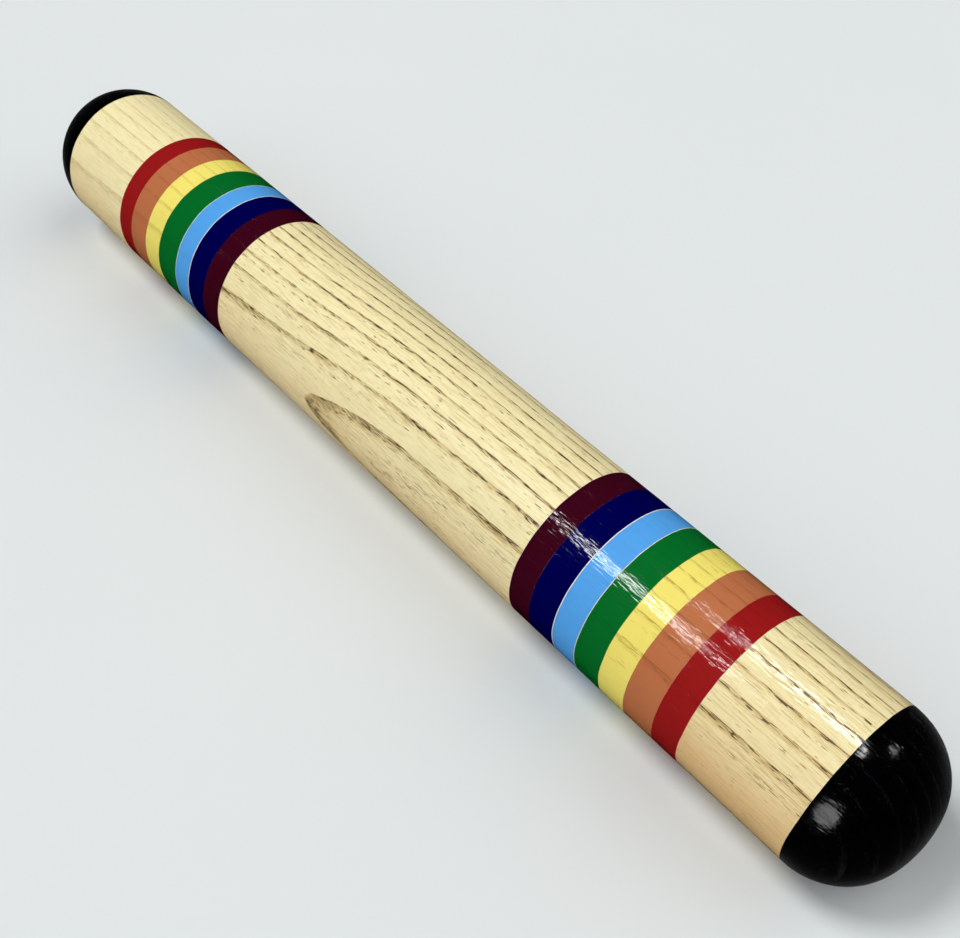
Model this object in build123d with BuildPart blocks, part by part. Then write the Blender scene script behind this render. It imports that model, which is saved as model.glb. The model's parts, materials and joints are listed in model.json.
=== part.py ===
from build123d import *
import os
from math import atan2, cos, degrees, radians, sin

# Rainstick: a turned ash tube closed by two domed caps and ringed by two groups of painted bands.
# Inside it a paper liner holds nails in a double helix, and loose glass beads run between the
# nails when the stick is tipped.
# X runs along the stick. It lies on z = 0, and the origin is under its middle. Sizes are in mm.

# ash tube
outer_radius = 30.0
wall = 5.0
middle_length = 172.5  # bare wood between the two groups of bands
edge_break = 0.3  # chamfer round each mouth of the tube

# painted bands, listed from the end of the stick inwards
left_bare = 42.9  # bare wood between the left cap and the first band
right_bare = 41.3
left_widths = {
    "red": 9.2,
    "orange": 11.2,
    "yellow": 10.2,
    "green": 12.8,
    "light_blue": 9.4,
    "navy": 10.8,
    "maroon": 10.7,
}
right_widths = {
    "red": 10.4,
    "orange": 12.3,
    "yellow": 10.9,
    "green": 11.0,
    "light_blue": 10.2,
    "navy": 11.1,
    "maroon": 9.7,
}
band_seat = 0.15  # depth that the paint is let into the wood
paint_film = 0.12  # so the paint lies just under the bare wood and the wood carries the stick

# end caps
dome_height = 26.0
shoulder_radius = 25.4
spigot_length = 12.0
spigot_chamfer = 1.0
glue_gap = 0.1  # radial room for glue round the spigots and the liner

# paper liner and its nails
liner_wall = 1.8
nail_length = 38.0
nail_radius = 0.8
nail_head_radius = 1.8
nail_head_height = 0.5
nail_tip_length = 2.4
nail_step = 8.0  # along the stick, from one nail of a helix to the next
nails_per_turn = 12
first_nail_angle = 15.0
nail_end_margin = 7.0  # from a cap's spigot to the nearest nail
hole_clearance = 0.02

# glass beads, in lanes between the planes of the nails
bead_radius = 2.0
bead_clearance = 0.25  # from the liner and the caps
bead_pitch = 4.1
second_layer_rise = 2.9
third_layer_rise = 3.5
lane_beads = {"left": 17, "middle": 26, "right": 17}  # rows of the bottom layer in each lane
lane_angles = {"left": -120.0, "middle": -90.0, "right": -60.0}
second_layer_share = 0.75  # of the bottom layer's rows, so that the heap slopes away from the cap
third_layer_share = 0.45

# worked out
bore_radius = outer_radius - wall
tube_length = (
    left_bare + sum(left_widths.values()) + middle_length + sum(right_widths.values()) + right_bare
)
half_length = tube_length / 2
spigot_radius = bore_radius - glue_gap
chamber_length = tube_length - 2 * spigot_length
liner_outer = bore_radius - glue_gap
liner_inner = liner_outer - liner_wall
crown_radius = (dome_height**2 + outer_radius**2 - 2 * outer_radius * shoulder_radius) / (
    2 * (dome_height - shoulder_radius)
)
turn_angle = 360 / nails_per_turn
nails_per_helix = int((chamber_length - 2 * nail_end_margin) / nail_step)

stick_axis = Axis((0, 0, outer_radius), (1, 0, 0))


def section_plane(direction=1):
    """A plane through the stick's axis: local x runs outwards to one end, local y is the radius."""
    return Plane(
        origin=(0, 0, outer_radius), x_dir=(direction, 0, 0), z_dir=(0, -direction, 0)
    )


def radial_plane(x, angle, radius):
    """A plane at that distance from the stick's axis that faces straight out from it."""
    out = (0, cos(radians(angle)), sin(radians(angle)))
    return Plane(
        origin=(x, radius * out[1], outer_radius + radius * out[2]), x_dir=(1, 0, 0), z_dir=out
    )


def save(part, name):
    """Labels a finished piece and writes its STEP file."""
    part.label = name
    export_step(part, f"parts/{name}.step")


os.makedirs("parts", exist_ok=True)

# ---- ash tube: turned and bored, with a shallow seat under each group of bands
left_group = sum(left_widths.values())
right_group = sum(right_widths.values())
left_group_start = -half_length + left_bare
right_group_start = half_length - right_bare - right_group
with BuildPart() as tube:
    with BuildSketch(section_plane()):
        with Locations((0, bore_radius + wall / 2)):
            Rectangle(tube_length, wall)
        for start, length in ((left_group_start, left_group), (right_group_start, right_group)):
            with Locations((start, outer_radius - band_seat)):
                Rectangle(
                    length, 2 * band_seat, align=(Align.MIN, Align.MIN), mode=Mode.SUBTRACT
                )
    revolve(axis=stick_axis)
    mouths = tube.edges().filter_by(GeomType.CIRCLE).group_by(Axis.X)
    outer_rims = [group.sort_by(SortBy.RADIUS)[-1] for group in (mouths[0], mouths[-1])]
    chamfer(outer_rims, edge_break)
save(tube.part, "tube")

# ---- painted bands: thin rings of paint, side by side in their seats
seat_radius = outer_radius - band_seat
paint_radius = seat_radius + paint_film
for end, direction, bare, widths in (
    ("left", -1, left_bare, left_widths),
    ("right", 1, right_bare, right_widths),
):
    distance = half_length - bare  # outer edge of the next band, from the middle of the stick
    for colour, width in widths.items():
        with BuildPart() as band:
            with BuildSketch(section_plane(direction)):
                with Locations((distance - width, seat_radius)):
                    Rectangle(width, paint_film, align=(Align.MIN, Align.MIN))
            revolve(axis=stick_axis)
        save(band.part, f"{colour}_band_{end}")
        distance -= width

# ---- end caps: a crown arc that meets a shoulder arc, over a spigot that plugs the tube
tangent_angle = degrees(atan2(outer_radius - shoulder_radius, crown_radius - dome_height))
tip = half_length + dome_height
for end, direction in (("left", -1), ("right", 1)):
    with BuildPart() as cap:
        with BuildSketch(section_plane(direction)):
            with BuildLine():
                Polyline(
                    (tip, 0),
                    (half_length - spigot_length, 0),
                    (half_length - spigot_length, spigot_radius),
                    (half_length, spigot_radius),
                    (half_length, outer_radius),
                )
                CenterArc(
                    (half_length, outer_radius - shoulder_radius),
                    shoulder_radius,
                    90,
                    tangent_angle - 90,
                )
                CenterArc((tip - crown_radius, 0), crown_radius, 0, tangent_angle)
            make_face()
        revolve(axis=stick_axis)
        spigot_rim = cap.edges().filter_by(GeomType.CIRCLE).sort_by(Axis.X)[0 if direction > 0 else -1]
        chamfer(spigot_rim, spigot_chamfer)
    save(cap.part, f"end_cap_{end}")

# ---- nails: two helices that start on opposite sides, half a step apart
nail_top = (liner_outer**2 - nail_head_radius**2) ** 0.5  # so that the heads lie below the paper
shank_length = nail_length - nail_tip_length
first_x = -(nails_per_helix - 0.5) * nail_step / 2
helix_starts = [(first_x, first_nail_angle), (first_x + nail_step / 2, first_nail_angle + 180)]
nail_places = [
    (x + step * nail_step, angle + step * turn_angle)
    for x, angle in helix_starts
    for step in range(nails_per_helix)
]
from_top = (Align.CENTER, Align.CENTER, Align.MAX)
with BuildPart() as nails:
    with Locations(*[radial_plane(x, angle, nail_top) for x, angle in nail_places]):
        Cylinder(nail_head_radius, nail_head_height, align=from_top)
        Cylinder(nail_radius, shank_length, align=from_top)
    with Locations(*[radial_plane(x, angle, nail_top - shank_length) for x, angle in nail_places]):
        Cone(0, nail_radius, nail_tip_length, align=from_top)
save(nails.part, "nails")

# ---- paper liner: a tube between the spigots, with a counterbored hole for every nail
with BuildPart() as liner:
    with BuildSketch(Plane.YZ.offset(-chamber_length / 2 + glue_gap)):
        with Locations((0, outer_radius)):
            Circle(liner_outer)
            Circle(liner_inner, mode=Mode.SUBTRACT)
    extrude(amount=chamber_length - 2 * glue_gap)
    with Locations(*[radial_plane(x, angle, liner_outer) for x, angle in nail_places]):
        CounterBoreHole(
            radius=nail_radius + hole_clearance,
            counter_bore_radius=nail_head_radius + hole_clearance,
            counter_bore_depth=liner_outer - nail_top + nail_head_height,
            depth=2 * liner_wall,
        )
save(liner.part, "liner")

# ---- glass beads: a heap at the left end, in lanes that the nails never cross
floor_radius = liner_inner - bead_radius - bead_clearance
first_bead_x = -chamber_length / 2 + bead_radius + bead_clearance
side_step = bead_pitch / 2
floor_depth = (floor_radius**2 - side_step**2) ** 0.5  # of the bottom layer, below the axis
second_depth = floor_depth - second_layer_rise
third_depth = second_depth - third_layer_rise
for lane, angle in lane_angles.items():
    rows = lane_beads[lane]
    lane_plane = radial_plane(0, angle, 0)
    bottom = [
        lane_plane.from_local_coords((first_bead_x + row * bead_pitch, side, floor_depth))
        for row in range(rows)
        for side in (-side_step, side_step)
    ]
    second = [
        lane_plane.from_local_coords((first_bead_x + (row + 0.5) * bead_pitch, 0, second_depth))
        for row in range(round(rows * second_layer_share))
    ]
    third = [
        lane_plane.from_local_coords((first_bead_x + row * bead_pitch, 0, third_depth))
        for row in range(round(rows * third_layer_share))
    ]
    with BuildPart() as beads:
        with Locations(*bottom, *second, *third):
            Sphere(bead_radius)
    save(beads.part, f"beads_{lane}_lane")
    heap_end = first_bead_x + (rows - 1) * bead_pitch + bead_radius
    travel = chamber_length / 2 - bead_clearance - heap_end
    print(f"beads_{lane}_lane: {len(beads.solids())} beads, travel {travel:.1f} mm")

print(f"overall length {2 * tip:.1f}, tube {tube_length:.1f}, crown radius {crown_radius:.2f}")
print(f"bare middle from {left_group_start + left_group:.2f} to {right_group_start:.2f}")
print(f"{2 * nails_per_helix} nails from x {first_x:.1f} to {-first_x:.1f}")
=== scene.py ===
import json
import math

import bpy
from mathutils import Matrix, Vector


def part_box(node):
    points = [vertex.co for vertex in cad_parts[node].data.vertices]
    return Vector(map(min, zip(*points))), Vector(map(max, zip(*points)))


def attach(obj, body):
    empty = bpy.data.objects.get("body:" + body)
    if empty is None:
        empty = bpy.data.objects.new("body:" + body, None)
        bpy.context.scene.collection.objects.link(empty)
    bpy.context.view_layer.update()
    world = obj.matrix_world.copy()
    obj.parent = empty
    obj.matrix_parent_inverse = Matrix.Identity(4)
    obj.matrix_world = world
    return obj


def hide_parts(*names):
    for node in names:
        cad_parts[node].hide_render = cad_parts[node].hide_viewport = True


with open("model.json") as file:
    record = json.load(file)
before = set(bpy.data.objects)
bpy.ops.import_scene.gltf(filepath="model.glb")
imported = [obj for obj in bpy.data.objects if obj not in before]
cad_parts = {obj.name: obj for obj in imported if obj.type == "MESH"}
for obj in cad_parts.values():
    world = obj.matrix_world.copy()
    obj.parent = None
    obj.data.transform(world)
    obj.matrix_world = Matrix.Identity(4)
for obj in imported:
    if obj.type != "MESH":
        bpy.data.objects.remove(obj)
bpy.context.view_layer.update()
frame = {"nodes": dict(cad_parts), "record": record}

mm = 0.001
colours = ("red", "orange", "yellow", "green", "light_blue", "navy", "maroon")  # from an end inwards

# the stick's own sizes, from the frame
tubeLow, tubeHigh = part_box("tube")
stickRadius = (tubeHigh[2] - tubeLow[2]) / 2
axisHeight = (tubeHigh[2] + tubeLow[2]) / 2
halfTube = (tubeHigh[0] - tubeLow[0]) / 2
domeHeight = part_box("end_cap_right")[1][0] - halfTube
print("frame:", len(frame["nodes"]), "nodes, stick radius", round(stickRadius / mm, 2), "mm")


def bandSpan(end, colour):
    low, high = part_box(f"{colour}_band_{end}")
    return low[0], high[0]


def groupSpan(end):
    spans = [bandSpan(end, colour) for colour in colours]
    return min(span[0] for span in spans), max(span[1] for span in spans)


class Wire:
    # one output of a node, with arithmetic that adds Math nodes
    def __init__(self, bench, socket):
        self.bench = bench
        self.socket = socket

    def __add__(self, other):
        return self.bench.maths("ADD", self, other)

    def __sub__(self, other):
        return self.bench.maths("SUBTRACT", self, other)

    def __rsub__(self, other):
        return self.bench.maths("SUBTRACT", other, self)

    def __mul__(self, other):
        return self.bench.maths("MULTIPLY", self, other)

    def __truediv__(self, other):
        return self.bench.maths("DIVIDE", self, other)

    __radd__ = __add__
    __rmul__ = __mul__


class Bench:
    # adds nodes to one tree, for a material or for Geometry Nodes
    def __init__(self, tree):
        self.tree = tree
        tree.nodes.clear()

    def node(self, kind, settings=None, sockets=None, output=0):
        made = self.tree.nodes.new(kind)
        for name, value in (settings or {}).items():
            setattr(made, name, value)
        for name, value in (sockets or {}).items():
            if isinstance(value, Wire):
                self.tree.links.new(value.socket, made.inputs[name])
            else:
                made.inputs[name].default_value = value
        return Wire(self, made.outputs[output]) if len(made.outputs) else None

    def maths(self, operation, a, b=0.0):
        return self.node("ShaderNodeMath", {"operation": operation}, {0: a, 1: b})

    def vector(self, x, y, z):
        return self.node("ShaderNodeCombineXYZ", None, {"X": x, "Y": y, "Z": z})

    def axes(self, vector):
        split = self.node("ShaderNodeSeparateXYZ", None, {"Vector": vector})
        outputs = split.socket.node.outputs
        return [Wire(self, outputs[name]) for name in ("X", "Y", "Z")]

    def noise(self, place, detail=2.0, roughness=0.5, scale=1.0):
        sockets = {"Vector": place, "Scale": scale, "Detail": detail, "Roughness": roughness}
        return self.node("ShaderNodeTexNoise", None, sockets)

    def streaks(self, spot, length, width, detail=2.0, roughness=0.5):
        # noise drawn out along the stick: length and width of its marks in mm
        x, y, z = spot
        along, across = stickRadius / mm / length, stickRadius / mm / width
        return self.noise(self.vector(x * along, y * across, z * across), detail, roughness)

    def ease(self, value, low, high):
        # 0 below low, 1 above high, smooth between them
        sockets = {"Value": value, "From Min": low, "From Max": high}
        return self.node("ShaderNodeMapRange", {"interpolation_type": "SMOOTHSTEP"}, sockets)

    def blend(self, share, a, b):
        # sockets 6 and 7 and output 2 are the node's colour ones
        settings = {"data_type": "RGBA", "blend_type": "MIX"}
        return self.node("ShaderNodeMix", settings, {0: share, 6: a, 7: b}, 2)

    def place(self):
        # where a point lies on its object, in metres: the node's fourth output
        return self.node("ShaderNodeTexCoord", None, None, 3)

    def bumps(self, strength, distance, height):
        sockets = {"Strength": strength, "Distance": distance, "Height": height}
        return self.node("ShaderNodeBump", None, sockets)


def rgb(red, green, blue):
    # screen colour, 0 to 255, as the linear colour that nodes take
    parts = [part / 255 for part in (red, green, blue)]
    linear = [part / 12.92 if part <= 0.04045 else ((part + 0.055) / 1.055) ** 2.4 for part in parts]
    return (*linear, 1.0)


# ash: growth rings cut by the lathe, with open pores in the early wood of each ring.
# Marks are (length along the stick, width) in mm. Bands are (where they start, where they are full)
# as shares of a ring. Places are in stick radii.
ash = {
    "faceAngle": 85,  # degrees from straight up to the flat-sawn side
    # how the rings run out of line with the stick: a slow tilt, and a step near the middle
    "shift": 0.021,
    "tilt": 0.012,
    "step": 0.086,
    "stepPlace": -0.855,
    "stepLength": 1.12,
    "slowWave": 0.05,
    "slowMarks": (70, 34),
    "quickWave": 0.01,
    "quickMarks": (11, 5),
    "ringsPerRadius": 4.36,
    "tightening": 0.75,  # more rings per radius away from the flat-sawn side
    "ringEnd": (0.985, 1.0),
    "earlyBand": (0.72, 0.93),
    "sparseBand": (0.2, 0.85),
    "secondStart": (0.45, 0.52),  # a thin second row of pores in the middle of the ring
    "secondEnd": (0.57, 0.64),
    "stretches": (22, 9),  # marks: stretches of a ring with more pores or fewer
    "stretchRange": (0.36, 0.66),
    "poreLength": 3.6,  # mm
    "poreWidth": 0.24,  # mm
    "poreRows": 18,  # rows of pores in a ring: they run along it
    "poreEdge": 0.05,
    "solidWood": 0.8,  # how high the pore noise has to be where there are hardly any pores
    "earlyPores": 0.275,  # how much lower in the early wood
    "secondPores": 0.135,  # in the second row
    "sparsePores": 0.01,  # and in the rest of the ring
    "paleEnd": (-5.2, -2.2),  # the pores fade towards the left end
    "paleLeast": 0.3,  # share of the pores' strength that is left there
    "fibre": (8.0, 0.45),
    "fibreRange": (0.38, 0.78),
    "latheMarks": (0.6, 7.0),
    "latheRange": (0.5, 0.85),
    # how much of the early wood's brown each of them takes on: (least, more with the second thing)
    "earlyTint": (0.3, 0.3),  # with the ring's strength
    "fibreTint": (0.34, 0.36),  # towards the end of the ring
    "latheTint": 0.12,
    "poreTint": 0.85,
    "deepFrom": (0.4, 0.9),  # pores this strong are the dark ones
    "paleRimTint": 0.7,
    "paleRimWidth": 0.07,  # mm of pale rim painted on the bare wood beside the paint
    # painted light: the top is paler where the light falls, the side browner with painted shade, most of
    # all near the right end
    "shadedSideToLitTop": (-0.35, 0.85),
    "rightEnd": (2.5, 5.5),
    "shadeLiftAtRight": 0.35,  # how much higher the side's painted shade reaches there
    "top": rgb(244, 233, 182),
    "side": rgb(252, 226, 172),
    "shadedRightSide": rgb(230, 192, 138),
    "early": rgb(186, 148, 72),
    "pore": rgb(140, 104, 42),
    "deepPore": rgb(66, 43, 22),
    "paleRimColour": rgb(244, 238, 222),
    # lacquer on the bare wood: shinier near the right end
    "roughness": 0.34,
    "poreRoughness": 0.25,
    "shinyEnd": (4.6, 5.4),
    "shinier": 0.24,
}


def ringDepth(bench, spot, slow):
    # how far in a point lies from the flat-sawn side, along the way that the rings are stacked
    x, y, z = spot
    angle = math.radians(ash["faceAngle"])
    quick = bench.streaks(spot, *ash["quickMarks"], 2.0)
    stepped = bench.maths("TANH", (x - ash["stepPlace"]) / ash["stepLength"]) * ash["step"]
    rise = z * math.cos(angle) - y * math.sin(angle) + x * ash["tilt"] + stepped + ash["shift"]
    return 1.0 - rise - (slow - 0.5) * ash["slowWave"] - (quick - 0.5) * ash["quickWave"]


def poreNoise(bench, spot, rings):
    # short dashes that lie along the stick, in rows that follow the rings
    x, y, z = spot
    angle = math.radians(ash["faceAngle"])
    along, across = (stickRadius / mm / ash[size] for size in ("poreLength", "poreWidth"))
    level = z * math.sin(angle) + y * math.cos(angle)
    return bench.noise(bench.vector(x * along, level * across, rings * ash["poreRows"]), 0.0)


def woodToneAndPaintedLight(bench, spot, slow):
    # painted light: a paler top blended by height into a browner side of painted shade, browner still near
    # the right end, with a slow random wander where they meet
    right = bench.ease(spot[0], *ash["rightEnd"])
    litTop = bench.ease(spot[2] + (slow - 0.5) * 0.8 - right * ash["shadeLiftAtRight"], *ash["shadedSideToLitTop"])
    side = bench.blend(right, ash["side"], ash["shadedRightSide"])
    return bench.blend(litTop, side, ash["top"])


def ashGrain(bench):
    # the wood's rings and pores as numbers from 0 to 1, and its colour
    x, y, z = bench.axes(bench.place())
    spot = (x / stickRadius, y / stickRadius, (z - axisHeight) / stickRadius)
    slow = bench.streaks(spot, *ash["slowMarks"], 1.0)
    depth = ringDepth(bench, spot, slow)
    rings = depth * (depth * ash["tightening"] + ash["ringsPerRadius"])
    share = bench.maths("FRACT", rings)
    ringEnd = 1.0 - bench.ease(share, *ash["ringEnd"])
    early = bench.ease(share, *ash["earlyBand"]) * ringEnd
    sparse = bench.ease(share, *ash["sparseBand"]) * ringEnd
    second = bench.ease(share, *ash["secondStart"]) * (1.0 - bench.ease(share, *ash["secondEnd"]))
    strength = bench.ease(bench.streaks(spot, *ash["stretches"]), *ash["stretchRange"])
    kept = bench.ease(spot[0], *ash["paleEnd"]) * (1 - ash["paleLeast"]) + ash["paleLeast"]
    eased = early * (strength * 0.4 + 0.8) * ash["earlyPores"] + sparse * ash["sparsePores"]
    eased = eased + second * (1.2 - strength) * ash["secondPores"]
    solid = poreNoise(bench, spot, rings) + eased - ash["solidWood"]
    pores = bench.ease(solid, 0.0, ash["poreEdge"]) * kept
    colour = woodToneAndPaintedLight(bench, spot, slow)
    least, more = ash["earlyTint"]
    colour = bench.blend(early * (strength * more + least) * kept, colour, ash["early"])
    fibre = bench.ease(bench.streaks(spot, *ash["fibre"], 2.0, 0.65), *ash["fibreRange"])
    turned = bench.ease(bench.streaks(spot, *ash["latheMarks"], 1.0), *ash["latheRange"])
    least, more = ash["fibreTint"]
    speck = fibre * (sparse * more + least) + turned * ash["latheTint"]
    colour = bench.blend(speck * (kept * 0.6 + 0.4), colour, ash["early"])
    return {"spot": spot, "early": early, "strength": strength, "pores": pores, "colour": colour}


# marks in the lacquer: (length along the stick, width, height), all in mm
lacquer = {
    "brush": (5.0, 0.85, 0.09),
    "fibre": (4.0, 0.5, 0.03),
    "lathe": (0.6, 9.0, 0.03),
    "skin": (4.5, 3.0, 0.06),
    "poreDepth": 0.05,
}


def lacquerBump(bench, grain, pores, lathe, brush=1.0):
    # pores that show through the lacquer, brushed streaks, and the fine rings that the lathe leaves
    height = grain["pores"] * (-lacquer["poreDepth"] * pores)
    for mark, amount in (("brush", brush), ("fibre", 1.0), ("lathe", lathe), ("skin", 1.0)):
        length, width, tall = lacquer[mark]
        height = height + bench.streaks(grain["spot"], length, width, 1.0) * (tall * amount)
    return bench.bumps(1.0, mm, height)


def finish(name, paint):
    # a new material: paint(bench) gives the shader's sockets
    material = bpy.data.materials.new(name)
    material.use_nodes = True
    bench = Bench(material.node_tree)
    shader = bench.node("ShaderNodeBsdfPrincipled", None, paint(bench))
    bench.node("ShaderNodeOutputMaterial", None, {"Surface": shader})
    return material


def ashWood(bench):
    grain = ashGrain(bench)
    x = grain["spot"][0]
    colour = bench.blend(grain["pores"] * ash["poreTint"], grain["colour"], ash["pore"])
    deep = bench.ease(grain["pores"], *ash["deepFrom"]) * (0.5 + grain["strength"] * 0.5)
    colour = bench.blend(deep, colour, ash["deepPore"])
    # a pale rim painted on the bare wood just beyond each group of bands
    rim = ash["paleRimWidth"] * mm
    paleRimmed = 0.0
    for end in ("left", "right"):
        low, high = groupSpan(end)
        starts = bench.maths("GREATER_THAN", x, (low - rim) / stickRadius)
        paleRimmed = starts * bench.maths("LESS_THAN", x, (high + rim) / stickRadius) + paleRimmed
    shiny = bench.ease(x, *ash["shinyEnd"])
    return {
        "Base Color": bench.blend(paleRimmed * ash["paleRimTint"], colour, ash["paleRimColour"]),
        "Roughness": ash["roughness"] - shiny * ash["shinier"] + grain["pores"] * ash["poreRoughness"],
        "Specular IOR Level": 0.35,
        "Normal": lacquerBump(bench, grain, 1.0, 0.3),
    }


# paint: the thin orange and yellow let the grain through, and red and orange keep the lathe's marks
paints = {
    "red": {"colour": rgb(150, 25, 25), "deep": rgb(92, 6, 8), "through": 0.10, "lathe": 1.0},
    "orange": {"colour": rgb(186, 112, 72), "deep": rgb(138, 72, 34), "through": 0.5, "lathe": 1.0},
    "yellow": {"colour": rgb(242, 226, 114), "deep": rgb(176, 146, 52), "through": 0.7, "lathe": 0.4},
    "green": {"colour": rgb(6, 104, 38), "deep": rgb(1, 66, 18), "through": 0.08, "lathe": 0.3},
    "light_blue": {"colour": rgb(84, 162, 232), "deep": rgb(58, 122, 196), "through": 0.08, "lathe": 0.2},
    "navy": {"colour": rgb(0, 0, 74), "deep": rgb(0, 0, 50), "through": 0.05, "lathe": 0.2},
    "maroon": {"colour": rgb(58, 5, 24), "deep": rgb(36, 1, 10), "through": 0.05, "lathe": 0.2},
}


paintLook = {
    "pores": 0.75,  # how dark the pores and the early wood show through a clear film
    "early": 0.22,
    "cloudMarks": (10, 10),
    "cloudMiddle": 0.42,
    "cloudTint": 0.25,
    "roughness": 0.05,
    "cloudy": 0.06,
    "specular": 0.3,
    "poreBump": 0.8,
}


def paintFinish(name):
    tone = paints[name]

    def paint(bench):
        grain = ashGrain(bench)
        cloud = bench.streaks(grain["spot"], *paintLook["cloudMarks"], 3.0)
        shown = grain["pores"] * paintLook["pores"] + grain["early"] * paintLook["early"]
        uneven = (cloud - paintLook["cloudMiddle"]) * paintLook["cloudTint"]
        shown = shown * tone["through"] + uneven * (0.3 + tone["through"])
        return {
            "Base Color": bench.blend(shown, tone["colour"], tone["deep"]),
            "Roughness": cloud * paintLook["cloudy"] + paintLook["roughness"],
            "Specular IOR Level": paintLook["specular"],
            "Normal": lacquerBump(bench, grain, paintLook["poreBump"], tone["lathe"]),
        }

    return finish(name.replace("_", " ") + " paint", paint)


# the caps' lacquer: dust settled in it, and a faint grey sheen at a low angle
black = {
    "colour": rgb(1, 1, 2),
    "dust": rgb(40, 40, 42),
    "dustMarks": (0.5, 0.5),
    "dustRange": (0.74, 0.80),
    "cloudMarks": (15, 15),
    "roughness": 0.08,
    "cloudy": 0.08,
    "specular": 0.12,
    "sheen": 0.14,
    "sheenRoughness": 0.25,
}


def blackLacquer(bench):
    grain = ashGrain(bench)
    dust = bench.ease(bench.streaks(grain["spot"], *black["dustMarks"], 1.0), *black["dustRange"])
    cloud = bench.streaks(grain["spot"], *black["cloudMarks"], 3.0)
    return {
        "Base Color": bench.blend(dust * 0.3, black["colour"], black["dust"]),
        "Roughness": black["roughness"] + cloud * black["cloudy"],
        "Specular IOR Level": black["specular"],
        "Sheen Weight": black["sheen"],
        "Sheen Roughness": black["sheenRoughness"],
        "Normal": lacquerBump(bench, grain, 0.5, 0.3, 0.6),
    }


# turned pieces: a profile of (place along the stick, radius), swept round the axis
turnedShape = {
    "guide": 10 * mm,  # radius of the circle that carries the profile
    "steps": 256,
    "outOfRound": 0.004,
    "roundScale": 30,
    "edgeScale": (40, 100),  # along the stick and across it
    "wanderScale": 0.9,
    "raggedScale": 9.0,
    "weld": 0.0005 * mm,
}


def turningTree():
    tree = bpy.data.node_groups.new("turned on the lathe", "GeometryNodeTree")
    face = tree.interface
    kinds = {"Profile": "Geometry", "Steps round": "Int", "Axis height": "Float"}
    kinds.update({"Edge wander": "Float", "Edge raggedness": "Float", "Out of round": "Float"})
    kinds.update({"Seed": "Float", "Finish": "Material"})
    for name, kind in kinds.items():
        face.new_socket(name, in_out="INPUT", socket_type=f"NodeSocket{kind}")
    face.new_socket("Turned", in_out="OUTPUT", socket_type="NodeSocketGeometry")
    bench = Bench(tree)
    given = bench.node("NodeGroupInput").socket.node
    take = {socket.name: Wire(bench, socket) for socket in given.outputs if socket.name}
    line = bench.node("GeometryNodeMeshToCurve", None, {"Mesh": take["Profile"]})
    circle = {"Resolution": take["Steps round"], "Radius": turnedShape["guide"]}
    ringPath = bench.node("GeometryNodeCurvePrimitiveCircle", None, circle)
    swept = bench.node("GeometryNodeCurveToMesh", None, {"Curve": ringPath, "Profile Curve": line})
    laid = bench.node("GeometryNodeTransform", None, {"Geometry": swept, "Rotation": (0, -math.pi / 2, 0)})
    place = bench.node("GeometryNodeInputPosition")
    x, y, z = bench.axes(place)
    # edges that meet wander together
    along, across = turnedShape["edgeScale"]
    around = bench.vector(x * along + take["Seed"], y * across, z * across)
    wander = bench.noise(around, 1.0, 0.5, turnedShape["wanderScale"])
    ragged = bench.noise(around, 3.0, 0.7, turnedShape["raggedScale"])
    side = bench.node("GeometryNodeInputNamedAttribute", {"data_type": "FLOAT"}, {"Name": "edge"})
    shift = (wander - 0.5) * take["Edge wander"] + (ragged - 0.5) * take["Edge raggedness"]
    broad = bench.vector(*(part * turnedShape["roundScale"] for part in (x, y, z)))
    bulge = (bench.noise(broad, 1.0) - 0.5) * take["Out of round"]
    offset = bench.vector(shift * side, y * bulge, z * bulge)
    shaped = bench.node("GeometryNodeSetPosition", None, {"Geometry": laid, "Offset": offset})
    lift = bench.vector(0, 0, take["Axis height"])
    lifted = bench.node("GeometryNodeTransform", None, {"Geometry": shaped, "Translation": lift})
    weld = {"Geometry": lifted, "Distance": turnedShape["weld"]}
    closed = bench.node("GeometryNodeMergeByDistance", None, weld)
    smooth = bench.node("GeometryNodeSetShadeSmooth", None, {"Geometry": closed, "Shade Smooth": True})
    real = bench.node("GeometryNodeRealizeInstances", None, {"Geometry": smooth})
    final = bench.node("GeometryNodeSetMaterial", None, {"Geometry": real, "Material": take["Finish"]})
    bench.node("NodeGroupOutput", None, {"Turned": final})
    return tree


turning = turningTree()


def turn(name, node, profile, material, edges=None, **inputs):
    # edges says, for each point of the profile, how far it follows the wandering paint line
    mesh = bpy.data.meshes.new(name)
    count = len(profile)
    points = [(radius - turnedShape["guide"], along, 0) for along, radius in profile]
    mesh.from_pydata(points, [(i, (i + 1) % count) for i in range(count)], [])
    follow = mesh.attributes.new("edge", "FLOAT", "POINT")
    for index, share in enumerate(edges or [0.0] * count):
        follow.data[index].value = share
    piece = bpy.data.objects.new(name, mesh)
    bpy.context.collection.objects.link(piece)
    modifier = piece.modifiers.new("turning", "NODES")
    modifier.node_group = turning
    values = {"Steps round": turnedShape["steps"], "Out of round": turnedShape["outOfRound"]}
    values.update({"Axis height": axisHeight, "Edge wander": 0.0, "Edge raggedness": 0.0})
    values.update({"Seed": 0.0, "Finish": material})
    values.update(inputs)
    for item in turning.interface.items_tree:
        if item.in_out == "INPUT" and item.name in values:
            modifier[item.identifier] = values[item.name]
    graph = bpy.context.evaluated_depsgraph_get()
    made = bpy.data.meshes.new_from_object(piece.evaluated_get(graph))
    piece.modifiers.clear()
    piece.data = made
    made.name = name
    bpy.data.meshes.remove(mesh)
    subparts = frame["record"]["subparts"]
    slot = next(part["material_slot"] for part in subparts if part["node"] == node)
    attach(piece, "stick")
    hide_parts(node)
    return piece


# the tube: bare wood at full size, a shade lower under the paint
tube = {
    "seatDepth": 0.012 * mm,
    "seatRamp": 0.02 * mm,
    "edgeRound": 0.3 * mm,
    "support": 0.08 * mm,  # a loop this far from an edge keeps the faces beside it even
    "wall": 5 * mm,
    "step": 1.6 * mm,  # between loops along the stick
}


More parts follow.
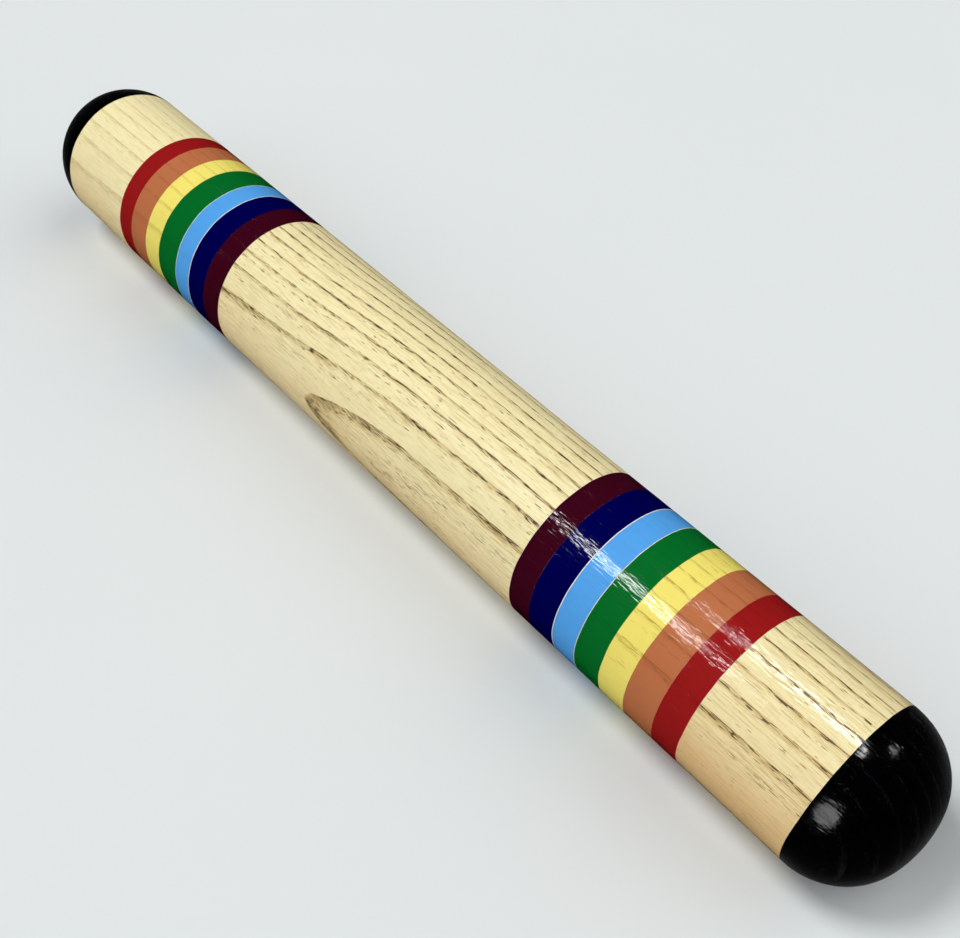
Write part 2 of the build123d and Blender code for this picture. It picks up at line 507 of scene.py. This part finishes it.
def tubeProfile():
    bore = stickRadius - tube["wall"]
    edge, ramp, support = tube["edgeRound"], tube["seatRamp"], tube["support"]
    # each stop is a place along the stick and a share of the seat's depth
    stops = [(-halfTube + edge, 0), (-halfTube + edge + support, 0)]
    for end in ("left", "right"):
        low, high = groupSpan(end)
        stops += [(low - support, 0), (low, 0), (low + ramp, 1), (low + ramp + support, 1)]
        stops += [(high - ramp - support, 1), (high - ramp, 1), (high, 0), (high + support, 0)]
    stops += [(halfTube - edge - support, 0), (halfTube - edge, 0)]
    outer = []
    for (start, deep), (stop, deepNext) in zip(stops, stops[1:]):
        pieces = max(1, round((stop - start) / tube["step"]))
        for step in range(pieces):
            share = step / pieces
            depth = deep + (deepNext - deep) * share
            outer.append((start + (stop - start) * share, stickRadius - depth * tube["seatDepth"]))
    outer.append((halfTube - edge, stickRadius))
    right = [(halfTube, stickRadius - edge), (halfTube, bore)]
    left = [(-halfTube, bore), (-halfTube, stickRadius - edge)]
    return outer + right + left


ashFinish = finish("ash", ashWood)
turn("ashTube", "tube", tubeProfile(), ashFinish)
print("tube turned")

# paint bands: a film with rounded edges that stands a hair proud of the wood
film = {
    "proud": 0.012 * mm,
    "buried": 0.02 * mm,  # below the seat, out of sight
    "edgeRound": 0.05 * mm,
    "wander": 0.5 * mm,
    "raggedness": 0.1 * mm,
    # bare wood left by the masking tape between a colour and the next one inwards
    "hairline": {"green": 0.2, "light_blue": 0.3},
    "thin": ("orange", "yellow"),  # these run more at their edges
}


def bandProfile(low, high):
    top = stickRadius + film["proud"]
    base = stickRadius - tube["seatDepth"] - film["buried"]
    soft = film["edgeRound"]
    half = [(0, base), (0, top - soft * 0.5), (soft * 0.4, top - soft * 0.1)]
    half += [(soft, top), (soft * 3, top)]
    points = [(low + along, radius) for along, radius in half]
    pieces = round((high - low) / tube["step"])
    points += [(low + (high - low) * step / pieces, top) for step in range(1, pieces)]
    return points + [(high - along, radius) for along, radius in reversed(half)]


paintFinishes = {colour: paintFinish(colour) for colour in colours}
for end in ("left", "right"):
    outer = 0
    for colour in colours:
        low, high = bandSpan(end, colour)
        inner = film["hairline"].get(colour, 0.0) / 2 * mm
        gaps = (outer, inner) if end == "left" else (inner, outer)
        profile = bandProfile(low + gaps[0], high - gaps[1])
        outer = inner
        settings = {
            "Edge wander": film["wander"],
            "Edge raggedness": film["raggedness"] * (3 if colour in film["thin"] else 1),
            "Seed": 20.0 if end == "left" else 0.0,
        }
        names = f"{colour}Paint_{end}", f"{colour}_band_{end}"
        turn(*names, profile, paintFinishes[colour], [1] * len(profile), **settings)
print("bands painted")

# end caps: a crown arc and a shoulder arc, as on the frame's caps, and the spigot in the tube
cap = {
    "shoulder": 25.4 * mm,
    "spigot": 24.9 * mm,
    "spigotLength": 12 * mm,
    "wander": 0.45 * mm,
    "raggedness": 0.15 * mm,
    "gap": 0.05 * mm,  # between the cap's shoulder and the tube's end
    "seatLip": 0.6 * mm,
    "skirt": 0.35 * mm,  # black paint that runs over onto the tube
    "skirtProud": 0.03 * mm,
    "skirtEdge": 0.01 * mm,
    "steps": 40,
}


def capProfile(direction):
    shoulder = cap["shoulder"]
    crown = (domeHeight**2 + stickRadius**2 - 2 * stickRadius * shoulder) / (2 * (domeHeight - shoulder))
    turnAngle = math.atan2(stickRadius - shoulder, crown - domeHeight)
    lip = stickRadius + cap["skirtProud"]
    inside, back, edge = halfTube - cap["spigotLength"], halfTube - cap["skirt"], cap["skirtEdge"]
    points = [(inside, 0.0), (inside, cap["spigot"]), (halfTube + cap["gap"], cap["spigot"])]
    points += [(halfTube + cap["gap"], stickRadius - cap["seatLip"])]
    points += [(back, stickRadius - edge), (back, lip - edge), (halfTube - cap["skirt"] * 0.8, lip)]
    shares = [0] * 4 + [1] * 3
    for step in range(cap["steps"] + 1):
        angle = math.pi / 2 + (turnAngle - math.pi / 2) * step / cap["steps"]
        fade = cap["skirtProud"] * (1 - step / cap["steps"])
        radius = stickRadius - shoulder + shoulder * math.sin(angle) + fade
        points.append((halfTube + shoulder * math.cos(angle), radius))
        shares.append(0)
    for step in range(1, cap["steps"] + 1):
        angle = turnAngle * (1 - step / cap["steps"])
        along = halfTube + domeHeight - crown + crown * math.cos(angle)
        points.append((along, crown * math.sin(angle)))
        shares.append(0)
    points = [(along * direction, radius) for along, radius in points]
    return (points, shares) if direction > 0 else (points[::-1], shares[::-1])


blackFinish = finish("black lacquer", blackLacquer)
for end, direction in (("left", -1), ("right", 1)):
    profile, shares = capProfile(direction)
    settings = {"Edge wander": cap["wander"], "Edge raggedness": cap["raggedness"]}
    settings["Seed"] = 31.0 + direction
    turn(f"blackCap_{end}", f"end_cap_{end}", profile, blackFinish, shares, **settings)
print("caps turned")


# inside: the frame's own liner, nails and beads, with their finishes
paper = {
    "turnLength": 38 * mm,  # along the stick, in one turn of the wound strip
    "seam": 0.02,  # share of a turn
    "pale": rgb(196, 160, 112),
    "dark": rgb(150, 116, 76),
    "seamColour": rgb(96, 70, 42),
    "relief": 0.1 * mm,
}
steel = {"pale": rgb(206, 208, 210), "dark": rgb(150, 152, 156), "grain": 2200.0, "relief": 0.05 * mm}
glass = {"pale": rgb(240, 250, 246), "green": rgb(214, 238, 230), "cloud": 700.0, "clear": 0.9, "ior": 1.5}


def kraftPaper(bench):
    x, y, z = bench.axes(bench.place())
    fibres = bench.noise(bench.vector(x * 900, y * 2600, z * 2600), 3.0, 0.6)
    turns = bench.maths("ARCTAN2", y, z - axisHeight) / (2 * math.pi)
    winding = bench.maths("FRACT", x / paper["turnLength"] + turns)
    seam = 1.0 - bench.ease(winding, 0.0, paper["seam"])
    colour = bench.blend(fibres, paper["dark"], paper["pale"])
    return {
        "Base Color": bench.blend(seam * 0.7, colour, paper["seamColour"]),
        "Roughness": 0.75 + fibres * 0.15,
        "Normal": bench.bumps(0.6, paper["relief"], fibres * 0.3 - seam),
    }


def nailSteel(bench):
    drawn = bench.noise(bench.place(), 3.0, 0.6, steel["grain"])
    return {
        "Base Color": bench.blend(drawn, steel["dark"], steel["pale"]),
        "Metallic": 1.0,
        "Roughness": 0.2 + drawn * 0.25,
        "Normal": bench.bumps(0.3, steel["relief"], drawn),
    }


def beadGlass(bench):
    cloud = bench.noise(bench.place(), 2.0, 0.5, glass["cloud"])
    return {
        "Base Color": bench.blend(cloud, glass["green"], glass["pale"]),
        "Roughness": 0.04 + cloud * 0.06,
        "Transmission Weight": glass["clear"],
        "IOR": glass["ior"],
    }


innerFinishes = {
    "kraft paper": (kraftPaper, ["liner"]),
    "nail steel": (nailSteel, ["nails"]),
    "bead glass": (beadGlass, [f"beads_{lane}_lane" for lane in ("left", "middle", "right")]),
}
for label, (paint, nodes) in innerFinishes.items():
    material = finish(label, paint)
    for node in nodes:
        for slot in frame["nodes"][node].material_slots:
            slot.material = material
print("inside finished")

# floor, light and camera
stage = {
    "floorSize": 6.0,
    "fibreScale": 900.0,
    "cloudScale": 3.0,
    "relief": 0.2 * mm,
    "fillDistance": 1.5,
    "floor": rgb(219, 223, 223),
    "floorShade": rgb(213, 218, 219),
    "sky": rgb(224, 229, 229),
}


def floorPaper(bench):
    place = bench.place()
    fine = bench.noise(place, 3.0, 0.6, stage["fibreScale"])
    broad = bench.noise(place, 2.0, 0.5, stage["cloudScale"])
    return {
        "Base Color": bench.blend(broad, stage["floorShade"], stage["floor"]),
        "Roughness": 0.8,
        "Specular IOR Level": 0.0,
        "Normal": bench.bumps(0.12, stage["relief"], fine),
    }


half = stage["floorSize"] / 2
floorMesh = bpy.data.meshes.new("floor")
corners = [(-half, -half, 0), (half, -half, 0), (half, half, 0), (-half, half, 0)]
floorMesh.from_pydata(corners, [], [(0, 1, 2, 3)])
floorMesh.materials.append(finish("floor paper", floorPaper))
floor = bpy.data.objects.new("floor", floorMesh)
bpy.context.collection.objects.link(floor)
floor.visible_glossy = False  # the lacquer shows only the lamps and the room

world = bpy.data.worlds.new("soft room")
world.use_nodes = True
worldBench = Bench(world.node_tree)
sky = worldBench.node("ShaderNodeBackground", None, {"Color": stage["sky"], "Strength": 1.0})
worldBench.node("ShaderNodeOutputWorld", None, {"Surface": sky})
# a plain backdrop: it neither lights the stick nor shows in the gloss
world.cycles_visibility.diffuse = False
world.cycles_visibility.glossy = False
bpy.context.scene.world = world

# heading: from the stick to the light. A fill is far off, and stays out of the gloss.
# breadth: how broad it looks from the stick, in degrees.
fills = {
    "fillBack": {"heading": (0.5, 0.8, 1.0), "breadth": 65, "power": 1.3},
    "fillFront": {"heading": (-0.1, -0.8, 1.0), "breadth": 65, "power": 1.3},
    "fillTop": {"heading": (-0.4, -0.25, 0.9), "breadth": 20, "power": 1.66},
}
# A shine shows only in the gloss. aim: the point that it faces, in stick radii.
shines = {
    "shineLow": {
        "heading": (-0.34, -0.33, 0.87),
        "aim": (4.1, -0.4, 0.9),
        "distance": 1.1,
        "size": (0.29, 0.12),
        "power": 3.0,
    },
    "shineHigh": {
        "heading": (-0.2, 0.23, 0.95),
        "aim": (5.9, -0.1, 1.0),
        "distance": 1.1,
        "size": (0.3, 0.1),
        "power": 2.8,
    },
    "shineDome": {
        "heading": (0.21, -0.93, 0.29),
        "aim": (7.0, -0.6, 0.6),
        "distance": 1.2,
        "size": (0.6, 0.6),
        "power": 12.0,
    },
    "shineCap": {
        "heading": (-0.06, 0.14, 0.99),
        "aim": (6.9, -0.1, 1.0),
        "distance": 1.1,
        "size": (0.16, 0.16),
        "power": 4.0,
    },
    "shineBack": {
        "heading": (0.3, 0.56, 0.77),
        "aim": (7.0, 0.0, 0.9),
        "distance": 1.1,
        "size": (0.16, 0.08),
        "power": 1.2,
    },
}
for name, given in {**fills, **shines}.items():
    shine = name in shines
    light = bpy.data.lights.new(name, "AREA" if shine else "SUN")
    light.energy = given["power"]
    if shine:
        light.shape = "ELLIPSE"
        light.size, light.size_y = given["size"]
    else:
        light.angle = math.radians(given["breadth"])
    lamp = bpy.data.objects.new(name, light)
    lamp.visible_glossy = shine
    lamp.visible_diffuse = not shine
    back = Vector(given["heading"]).normalized()
    across = (Vector((1, 0, 0)) - back * back.x).normalized()  # its long side lies along the stick
    turned = Matrix((across, back.cross(across), back)).transposed().to_4x4()
    aim = Vector(given.get("aim", (0, 0, 0))) * stickRadius + Vector((0, 0, axisHeight))
    distance = given.get("distance", stage["fillDistance"])
    lamp.matrix_world = Matrix.Translation(aim + back * distance) @ turned
    bpy.context.collection.objects.link(lamp)

# in stick radii from the middle of the stick's axis
view = {"place": (8.735, -6.496, 11.47), "target": (1.326, -0.074, 0.0), "lens": 47.57}
camera = bpy.data.objects.new("camera", bpy.data.cameras.new("camera"))
centre = Vector((0, 0, axisHeight))
camera.location = Vector(view["place"]) * stickRadius + centre
heading = camera.location - Vector(view["target"]) * stickRadius - centre
camera.rotation_euler = heading.to_track_quat("Z", "Y").to_euler()
camera.data.lens = view["lens"]
camera.data.sensor_width = 36
camera.data.clip_start = 0.01
bpy.context.collection.objects.link(camera)
bpy.context.scene.camera = camera
bpy.context.scene.view_settings.view_transform = "Standard"
print("stage set")
